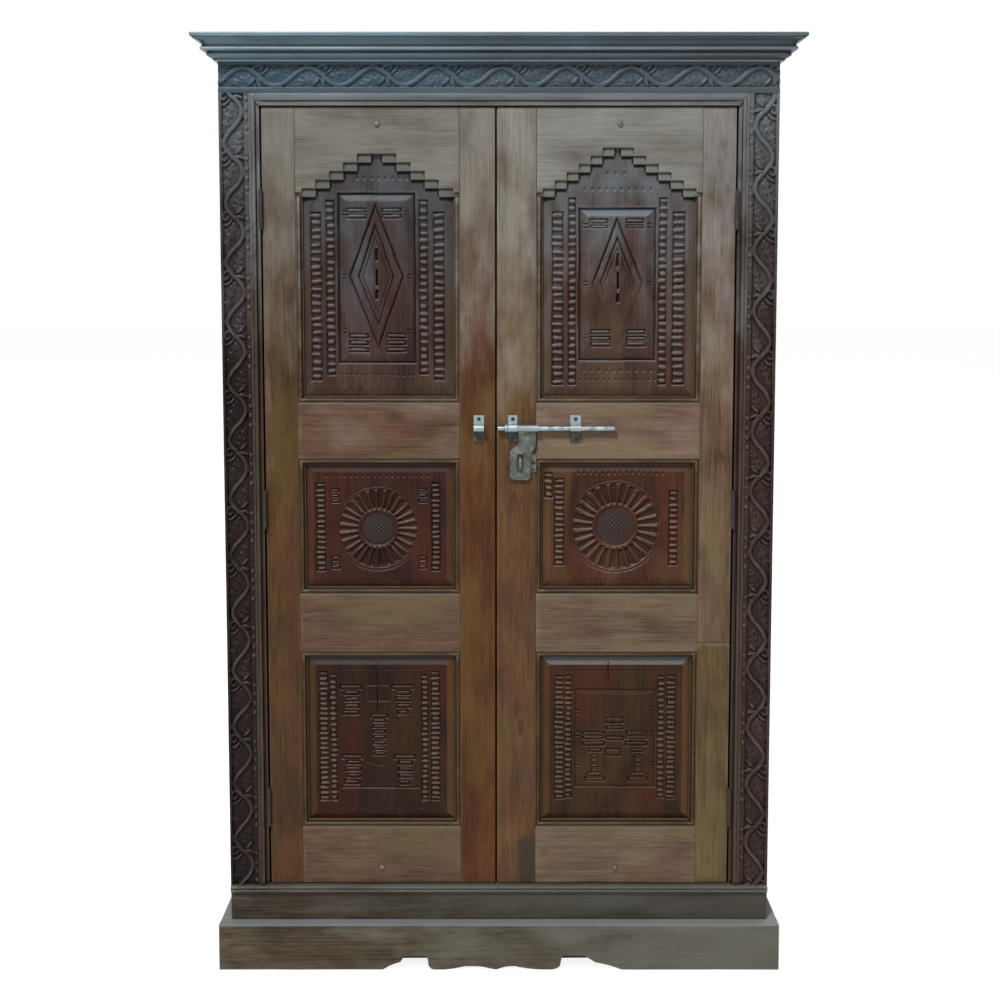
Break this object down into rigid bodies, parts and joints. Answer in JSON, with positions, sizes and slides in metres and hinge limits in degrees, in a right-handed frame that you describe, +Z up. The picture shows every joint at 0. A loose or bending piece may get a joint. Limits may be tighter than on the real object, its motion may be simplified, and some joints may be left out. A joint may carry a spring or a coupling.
{
  "type": "carved two-door cabinet",
  "caption": "Tall wooden cabinet with two hinged panelled doors, carved frame and panels, moulded cornice, scalloped plinth, shelves inside and a sliding bolt with a hasp.",
  "frame": {"origin": "middle of the rectangle that the cabinet stands on, at floor level", "axes": "+Z up, the doors face -Y, +X to the right of someone facing the doors"},
  "size_m": [1.21, 0.495, 1.915],
  "materials": {
    "door_frame_wood": "worn, waxed",
    "door_panel_wood": "worn, waxed",
    "carved_frame_wood": "worn, dark stain",
    "cornice_wood": "weathered",
    "plinth_wood": "weathered",
    "carcass_wood": "plain, unpolished",
    "worn_steel": "worn bright",
    "aged_iron": "dull, oxidised"
  },
  "bodies": {
    "cabinet": {"back_boards": "carcass_wood", "base_rail": "plinth_wood", "bottom_board": "carcass_wood", "corner_blocks": "carcass_wood", "cornice_front": "cornice_wood", "cornice_left": "cornice_wood", "cornice_right": "cornice_wood", "door_stops": "carcass_wood", "frame_head": "carved_frame_wood", "frame_stile_left": "carved_frame_wood", "frame_stile_right": "carved_frame_wood", "hinge_frame_leaves": "aged_iron", "hinge_frame_screws": "aged_iron", "hinge_pins": "aged_iron", "jamb_head": "carved_frame_wood", "jamb_left": "carved_frame_wood", "jamb_right": "carved_frame_wood", "plinth_back": "carcass_wood", "plinth_front": "plinth_wood", "plinth_left": "plinth_wood", "plinth_right": "plinth_wood", "shelf_cleats": "carcass_wood", "shelf_lower": "carcass_wood", "shelf_middle": "carcass_wood", "shelf_upper": "carcass_wood", "side_panel_left": "carcass_wood", "side_panel_right": "carcass_wood", "sill_strip": "plinth_wood", "top_board": "cornice_wood"},
    "door_left": {"bottom_rail_left": "door_frame_wood", "hinge_stile_left": "door_frame_wood", "lock_rail_left": "door_frame_wood", "lower_panel_left": "door_panel_wood", "lower_rail_left": "door_frame_wood", "meeting_stile_left": "door_frame_wood", "middle_panel_left": "door_panel_wood", "panel_beading_left": "door_frame_wood", "rail_pegs_left": "door_frame_wood", "top_rail_left": "door_frame_wood", "upper_panel_left": "door_panel_wood", "hinge_door_leaves_left": "aged_iron", "door_screws_left": "aged_iron", "latch_keeper": "worn_steel"},
    "door_right": {"bottom_rail_right": "door_frame_wood", "hinge_stile_right": "door_frame_wood", "lock_rail_right": "door_frame_wood", "lower_panel_right": "door_panel_wood", "lower_rail_right": "door_frame_wood", "meeting_stile_right": "door_frame_wood", "middle_panel_right": "door_panel_wood", "panel_beading_right": "door_frame_wood", "rail_pegs_right": "door_frame_wood", "top_rail_right": "door_frame_wood", "upper_panel_right": "door_panel_wood", "hinge_door_leaves_right": "aged_iron", "door_screws_right": "aged_iron", "latch_guides": "worn_steel", "padlock_eye": "aged_iron"},
    "bolt": {"latch_bolt": "worn_steel"},
    "hasp": {"latch_hasp": "aged_iron"}
  },
  "joints": [
    {"name": "door_left_swing", "type": "hinge", "parent": "cabinet", "child": "door_left", "pos_m": [-0.47825, -0.2008, 0.962], "axis": [0, 0, -1], "range_deg": [0, 170]},
    {"name": "door_right_swing", "type": "hinge", "parent": "cabinet", "child": "door_right", "pos_m": [0.47825, -0.2008, 0.962], "axis": [0, 0, 1], "range_deg": [0, 170]},
    {"name": "latch_bolt_slide", "type": "slide", "parent": "door_right", "child": "bolt", "axis": [1, 0, 0], "range_m": [-0.055, 0]},
    {"name": "latch_hasp_turn", "type": "hinge", "parent": "door_right", "child": "hasp", "pos_m": [0.046, -0.206, 1.13], "axis": [-1, 0, 0], "range_deg": [0, 170]}
  ]
}
